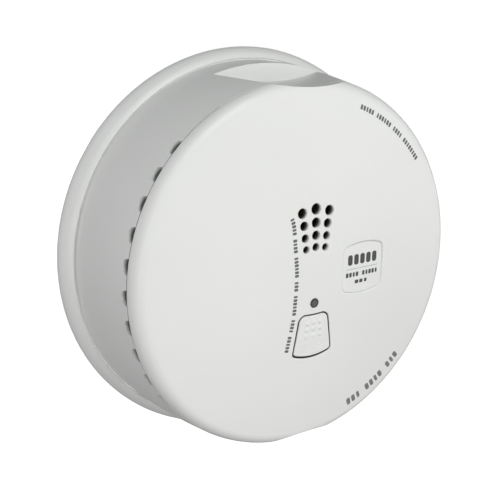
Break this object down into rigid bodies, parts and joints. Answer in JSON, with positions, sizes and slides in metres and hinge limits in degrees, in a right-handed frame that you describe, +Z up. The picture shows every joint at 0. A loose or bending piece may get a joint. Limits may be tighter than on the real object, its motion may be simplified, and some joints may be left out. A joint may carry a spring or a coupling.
{
  "type": "carbon monoxide detector",
  "caption": "Round white wall or ceiling carbon monoxide detector: base ring with a twist-off drum head, domed face with sounder holes, indicator window, test button and vents.",
  "frame": {"origin": "centre of the base's flat back face, on the head's axis", "axes": "+Z up on the wall, +Y into the wall, the face looks along -Y"},
  "size_m": [0.14, 0.0478, 0.14],
  "materials": {
    "white_plastic": "satin moulded",
    "button_plastic": "satin moulded",
    "lens": "smoked, polished",
    "badge_film": "printed film",
    "board": "solder mask",
    "can_steel": "nickel plated",
    "cap_plastic": "moulded",
    "filter_felt": "charcoal felt",
    "gold_pins": "plated",
    "sounder_plastic": "moulded",
    "sounder_brass": "rolled",
    "gasket_foam": "closed cell foam",
    "led_epoxy": "clear epoxy",
    "switch_plastic": "moulded",
    "plunger_plastic": "moulded",
    "terminal_plastic": "glass filled",
    "zinc_screw": "zinc plated",
    "clamp_brass": "tin plated",
    "relay_case": "moulded",
    "chip_epoxy": "moulded",
    "capacitor_sleeve": "shrink sleeve",
    "ferrite": "wound",
    "varistor_coat": "dipped",
    "screen_mesh": "woven",
    "label_film": "film"
  },
  "bodies": {
    "base": {"mounting_base": "white_plastic"},
    "head": {"rear_housing": "white_plastic", "front_cover": "white_plastic", "light_pipe": "lens", "badge_plate": "badge_film", "main_pcb": "board", "co_sensor_cell": "can_steel", "co_sensor_cap": "cap_plastic", "gas_filter": "filter_felt", "sensor_pins": "gold_pins", "sounder_housing": "sounder_plastic", "sounder_disc": "sounder_brass", "sounder_gasket": "gasket_foam", "status_led": "led_epoxy", "switch_body": "switch_plastic", "terminal_block": "terminal_plastic", "terminal_screws": "zinc_screw", "terminal_clamps": "clamp_brass", "alarm_relay": "relay_case", "trouble_relay": "relay_case", "microcontroller": "chip_epoxy", "sensor_amplifier": "chip_epoxy", "voltage_regulator": "chip_epoxy", "filter_capacitor": "capacitor_sleeve", "drive_inductor": "ferrite", "surge_varistor": "varistor_coat", "bridge_diodes": "chip_epoxy", "chip_resistors": "chip_epoxy", "cover_screws": "zinc_screw", "pcb_screws": "zinc_screw", "vent_screens": "screen_mesh", "rating_label": "label_film"},
    "button": {"test_button": "button_plastic"},
    "plunger": {"switch_plunger": "plunger_plastic"}
  },
  "joints": [
    {"name": "head_twist", "type": "hinge", "parent": "base", "child": "head", "pos_m": [0, 0, 0], "axis": [0, -1, 0], "range_deg": [0, 20]},
    {"name": "button_press", "type": "hinge", "parent": "head", "child": "button", "pos_m": [0, -0.0436, -0.028], "axis": [-1, 0, 0], "range_deg": [0, 2.5], "stiffness_Nm_per_rad": 0.4, "springref_deg": -1.15},
    {"name": "plunger_press", "type": "slide", "parent": "head", "child": "plunger", "axis": [0, 1, 0], "range_m": [0, 0.0004]}
  ],
  "couplings": [
    {"joint": "plunger_press", "follows": "button_press", "m_per_rad": 0.0085}
  ]
}
